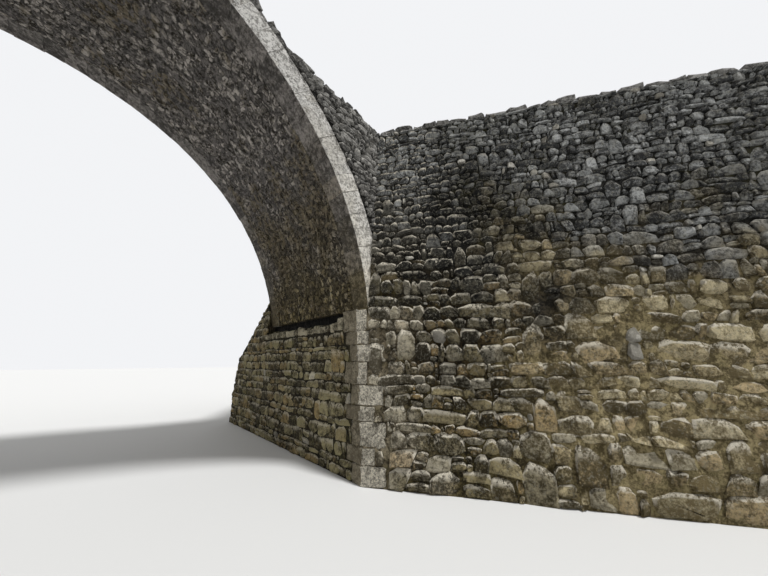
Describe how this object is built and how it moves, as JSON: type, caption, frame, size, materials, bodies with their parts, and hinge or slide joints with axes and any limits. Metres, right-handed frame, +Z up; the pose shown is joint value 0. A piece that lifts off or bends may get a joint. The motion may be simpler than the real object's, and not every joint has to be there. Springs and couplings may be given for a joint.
{
  "type": "stone arch bridge",
  "caption": "Single-span humped stone arch bridge with dressed arch rings, rubble spandrels, impost ledges and splayed wing walls, standing on level ground.",
  "frame": {"origin": "middle of the bridge in plan, at ground level under the walls", "axes": "+X along the bridge, +Y across it towards the side away from the viewer, +Z up"},
  "size_m": [18.3212, 13.1666, 7.3201],
  "materials": {
    "abutment_rubble": "squared rubble in low courses, mossy",
    "capping_stone": "rough pale flat stones",
    "core_rubble": "rubble fill in mortar",
    "impost_stone": "rough squared stone, damp and mossy",
    "kerb_stone": "rough flat edge stones",
    "paving_stone": "worn cobbles",
    "quoin_stone": "light speckled corner stone",
    "ring_stone": "smooth dressed stone, finely pitted",
    "spandrel_rubble": "dark rubble with deep joints",
    "springer_rubble": "small rubble in deep shade",
    "vault_rubble": "rough rubble set on edge, washed with mortar",
    "wing_rubble": "dark lichened rubble, browner low down"
  },
  "bodies": {
    "root": {"arch_barrel": "vault_rubble", "crown_paving": "paving_stone", "far_arch_ring": "ring_stone", "far_crown_kerb": "kerb_stone", "left_abutment": "abutment_rubble", "left_core": "core_rubble", "left_far_ramp_kerb": "kerb_stone", "left_far_spandrel": "spandrel_rubble", "left_far_toe": "abutment_rubble", "left_far_wing": "wing_rubble", "left_far_wing_cap": "capping_stone", "left_impost": "impost_stone", "left_near_quoins": "quoin_stone", "left_near_ramp_kerb": "kerb_stone", "left_near_spandrel": "spandrel_rubble", "left_near_wing": "wing_rubble", "left_near_wing_cap": "capping_stone", "left_ramp_paving": "paving_stone", "left_springer_course": "springer_rubble", "near_arch_ring": "ring_stone", "near_crown_kerb": "kerb_stone", "right_abutment": "abutment_rubble", "right_core": "core_rubble", "right_far_ramp_kerb": "kerb_stone", "right_far_spandrel": "spandrel_rubble", "right_far_toe": "abutment_rubble", "right_far_wing": "wing_rubble", "right_far_wing_cap": "capping_stone", "right_impost": "impost_stone", "right_near_quoins": "quoin_stone", "right_near_ramp_kerb": "kerb_stone", "right_near_spandrel": "spandrel_rubble", "right_near_wing": "wing_rubble", "right_near_wing_cap": "capping_stone", "right_ramp_paving": "paving_stone", "right_springer_course": "springer_rubble"}
  },
  "joints": []
}
